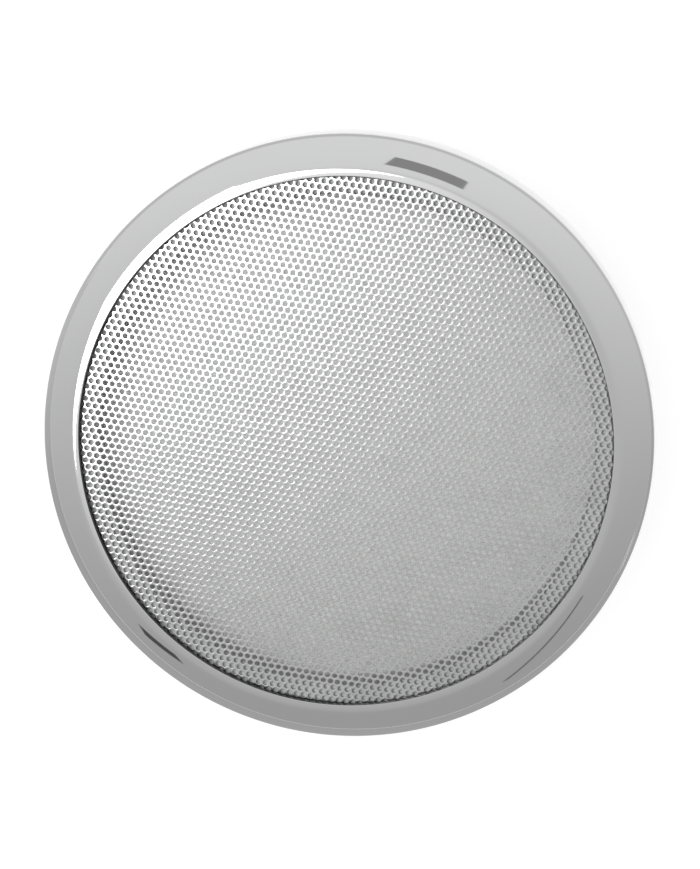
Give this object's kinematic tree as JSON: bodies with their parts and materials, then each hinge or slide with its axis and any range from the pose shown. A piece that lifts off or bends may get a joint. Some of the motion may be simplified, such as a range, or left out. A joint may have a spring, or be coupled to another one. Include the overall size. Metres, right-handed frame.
{
  "type": "car tweeter",
  "caption": "Flush-mount dome car tweeter with a chromed trim ring and domed perforated grille that pulls straight off its magnets.",
  "frame": {"origin": "on the tweeter's axis, in the plane of the rear chamber's back face", "axes": "+Z out of the grille towards the listener, +X towards the terminals, +Y completes the right-handed set"},
  "size_m": [0.085, 0.085, 0.0393],
  "materials": {
    "chrome_trim": "polished",
    "chrome_mesh": "polished",
    "plated_steel": "satin",
    "black_steel": "satin",
    "zinc_steel": "satin",
    "magnet_nickel": "polished",
    "ferrite": "matte",
    "black_plastic": "matte",
    "gasket_foam": "matte",
    "felt": "matte",
    "pale_cloth": "matte",
    "silk": "satin",
    "coated_cloth": "satin",
    "former_foil": "satin",
    "copper": "satin",
    "phenolic": "matte",
    "tinned_brass": "polished",
    "red_sleeve": "satin",
    "black_sleeve": "satin"
  },
  "bodies": {
    "driver": {"blade_rivet_1": "tinned_brass", "blade_rivet_2": "tinned_brass", "board_rivet_1": "tinned_brass", "board_rivet_2": "tinned_brass", "damping_pad": "felt", "faceplate": "black_steel", "front_plate": "zinc_steel", "grille_magnet_1": "magnet_nickel", "grille_magnet_2": "magnet_nickel", "grille_magnet_3": "magnet_nickel", "grille_magnet_4": "magnet_nickel", "lead_negative": "black_sleeve", "lead_positive": "red_sleeve", "motor_magnet": "ferrite", "motor_screw_1": "zinc_steel", "motor_screw_2": "zinc_steel", "motor_screw_3": "zinc_steel", "panel_gasket": "gasket_foam", "rear_chamber": "black_plastic", "surround": "coated_cloth", "surround_carrier": "black_plastic", "terminal_blade_negative": "tinned_brass", "terminal_blade_positive": "tinned_brass", "terminal_board": "phenolic", "yoke": "zinc_steel"},
    "grille": {"acoustic_cloth": "pale_cloth", "grille_mesh": "chrome_mesh", "grille_screw_1": "zinc_steel", "grille_screw_2": "zinc_steel", "grille_screw_3": "zinc_steel", "grille_screw_4": "zinc_steel", "keeper_ring": "plated_steel", "mesh_retainer": "plated_steel", "trim_ring": "chrome_trim"},
    "diaphragm": {"dome": "silk", "coil_former": "former_foil", "voice_coil": "copper"}
  },
  "joints": [
    {"name": "grille_release", "type": "slide", "parent": "driver", "child": "grille", "axis": [0, 0, 1], "range_m": [0, 0.03]},
    {"name": "diaphragm_stroke", "type": "slide", "parent": "driver", "child": "diaphragm", "axis": [0, 0, 1], "range_m": [-0.0003, 0.0003], "stiffness_N_per_m": 100, "deforming": ["surround"]}
  ]
}
